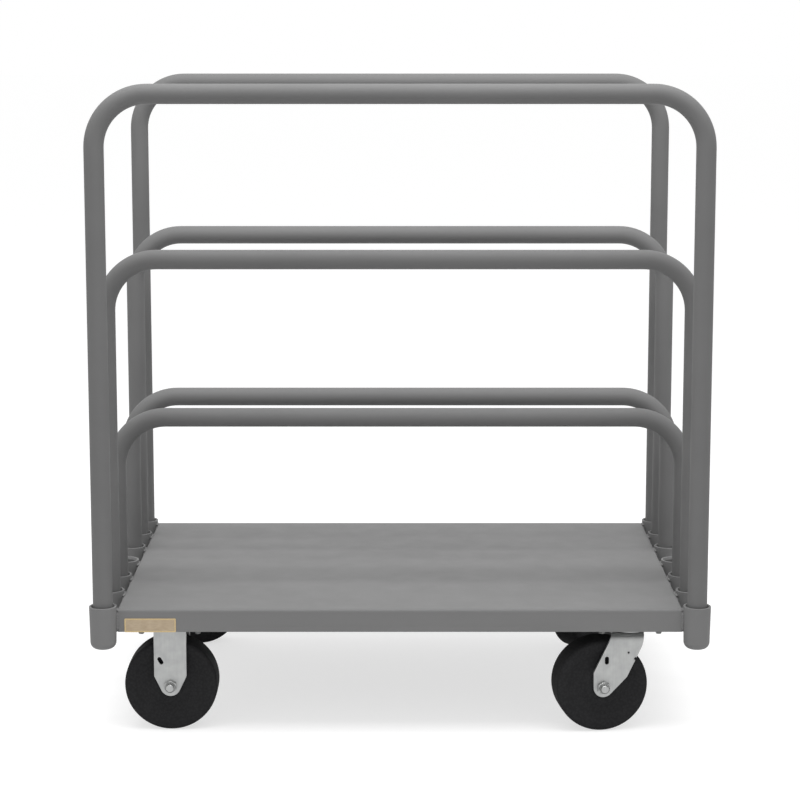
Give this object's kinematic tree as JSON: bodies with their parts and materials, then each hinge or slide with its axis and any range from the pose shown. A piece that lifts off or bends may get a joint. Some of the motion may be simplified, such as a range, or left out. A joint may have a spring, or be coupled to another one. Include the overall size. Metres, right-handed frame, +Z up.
{
  "type": "sheet goods cart",
  "caption": "Steel platform cart with upright tube dividers in end sockets, on rigid and swivel casters, for carrying sheets and panels on edge.",
  "frame": {"origin": "on the floor under the middle of the deck", "axes": "+Z up, +X along the deck to the swivel end, -Y the front side with the label"},
  "size_m": [1.0038, 0.654, 1.0556],
  "materials": {
    "grey_paint": "satin grey powder coat",
    "zinc_plate": "bright zinc plate on stamped steel",
    "bare_steel": "oiled ground steel",
    "phenolic": "moulded black phenolic resin",
    "label": "bare tan label stock"
  },
  "bodies": {
    "cart_frame": {"deck_pan": "grey_paint", "caster_bolster_left": "grey_paint", "caster_bolster_right": "grey_paint", "deck_rib": "grey_paint", "label_plate": "label", "socket_left_1": "grey_paint", "socket_left_2": "grey_paint", "socket_left_3": "grey_paint", "socket_left_4": "grey_paint", "socket_left_5": "grey_paint", "socket_left_6": "grey_paint", "socket_left_7": "grey_paint", "socket_right_1": "grey_paint", "socket_right_2": "grey_paint", "socket_right_3": "grey_paint", "socket_right_4": "grey_paint", "socket_right_5": "grey_paint", "socket_right_6": "grey_paint", "socket_right_7": "grey_paint", "rigid_front_fork": "zinc_plate", "rigid_front_spanner_bushing": "bare_steel", "rigid_front_axle_bolt": "zinc_plate", "rigid_front_axle_nut": "zinc_plate", "swivel_front_top_plate": "zinc_plate", "swivel_front_kingpin": "zinc_plate", "rigid_rear_fork": "zinc_plate", "rigid_rear_spanner_bushing": "bare_steel", "rigid_rear_axle_bolt": "zinc_plate", "rigid_rear_axle_nut": "zinc_plate", "swivel_rear_top_plate": "zinc_plate", "swivel_rear_kingpin": "zinc_plate"},
    "rigid_front_wheel_set": {"rigid_front_wheel": "phenolic", "rigid_front_roller_bearing": "bare_steel"},
    "rigid_rear_wheel_set": {"rigid_rear_wheel": "phenolic", "rigid_rear_roller_bearing": "bare_steel"},
    "swivel_front_yoke": {"swivel_front_fork": "zinc_plate", "swivel_front_ball_ring": "bare_steel", "swivel_front_spanner_bushing": "bare_steel", "swivel_front_axle_bolt": "zinc_plate", "swivel_front_axle_nut": "zinc_plate"},
    "swivel_front_wheel_set": {"swivel_front_wheel": "phenolic", "swivel_front_roller_bearing": "bare_steel"},
    "swivel_rear_yoke": {"swivel_rear_fork": "zinc_plate", "swivel_rear_ball_ring": "bare_steel", "swivel_rear_spanner_bushing": "bare_steel", "swivel_rear_axle_bolt": "zinc_plate", "swivel_rear_axle_nut": "zinc_plate"},
    "swivel_rear_wheel_set": {"swivel_rear_wheel": "phenolic", "swivel_rear_roller_bearing": "bare_steel"},
    "tall_divider_front": {"tall_divider_front": "grey_paint"},
    "tall_divider_rear": {"tall_divider_rear": "grey_paint"},
    "medium_divider_front": {"medium_divider_front": "grey_paint"},
    "medium_divider_rear": {"medium_divider_rear": "grey_paint"},
    "low_divider_front": {"low_divider_front": "grey_paint"},
    "low_divider_rear": {"low_divider_rear": "grey_paint"}
  },
  "joints": [
    {"name": "rigid_front_wheel_spin", "type": "hinge", "parent": "cart_frame", "child": "rigid_front_wheel_set", "pos_m": [-0.375, -0.248, 0.0762], "axis": [0, 1, 0], "continuous": true},
    {"name": "rigid_rear_wheel_spin", "type": "hinge", "parent": "cart_frame", "child": "rigid_rear_wheel_set", "pos_m": [-0.375, 0.248, 0.0762], "axis": [0, 1, 0], "continuous": true},
    {"name": "swivel_front_turn", "type": "hinge", "parent": "cart_frame", "child": "swivel_front_yoke", "pos_m": [0.375, -0.248, 0.0762], "axis": [0, 0, 1], "continuous": true},
    {"name": "swivel_front_wheel_spin", "type": "hinge", "parent": "swivel_front_yoke", "child": "swivel_front_wheel_set", "pos_m": [0.32747, -0.25468, 0.0762], "axis": [-0.1392, 0.9903, 0], "continuous": true},
    {"name": "swivel_rear_turn", "type": "hinge", "parent": "cart_frame", "child": "swivel_rear_yoke", "pos_m": [0.375, 0.248, 0.0762], "axis": [0, 0, 1], "continuous": true},
    {"name": "swivel_rear_wheel_spin", "type": "hinge", "parent": "swivel_rear_yoke", "child": "swivel_rear_wheel_set", "pos_m": [0.34415, 0.21123, 0.0762], "axis": [-0.766, 0.6428, 0], "continuous": true},
    {"name": "tall_divider_front_lift", "type": "slide", "parent": "cart_frame", "child": "tall_divider_front", "axis": [0, 0, 1], "range_m": [0, 0.1]},
    {"name": "tall_divider_rear_lift", "type": "slide", "parent": "cart_frame", "child": "tall_divider_rear", "axis": [0, 0, 1], "range_m": [0, 0.1]},
    {"name": "medium_divider_front_lift", "type": "slide", "parent": "cart_frame", "child": "medium_divider_front", "axis": [0, 0, 1], "range_m": [0, 0.1]},
    {"name": "medium_divider_rear_lift", "type": "slide", "parent": "cart_frame", "child": "medium_divider_rear", "axis": [0, 0, 1], "range_m": [0, 0.1]},
    {"name": "low_divider_front_lift", "type": "slide", "parent": "cart_frame", "child": "low_divider_front", "axis": [0, 0, 1], "range_m": [0, 0.1]},
    {"name": "low_divider_rear_lift", "type": "slide", "parent": "cart_frame", "child": "low_divider_rear", "axis": [0, 0, 1], "range_m": [0, 0.1]}
  ]
}
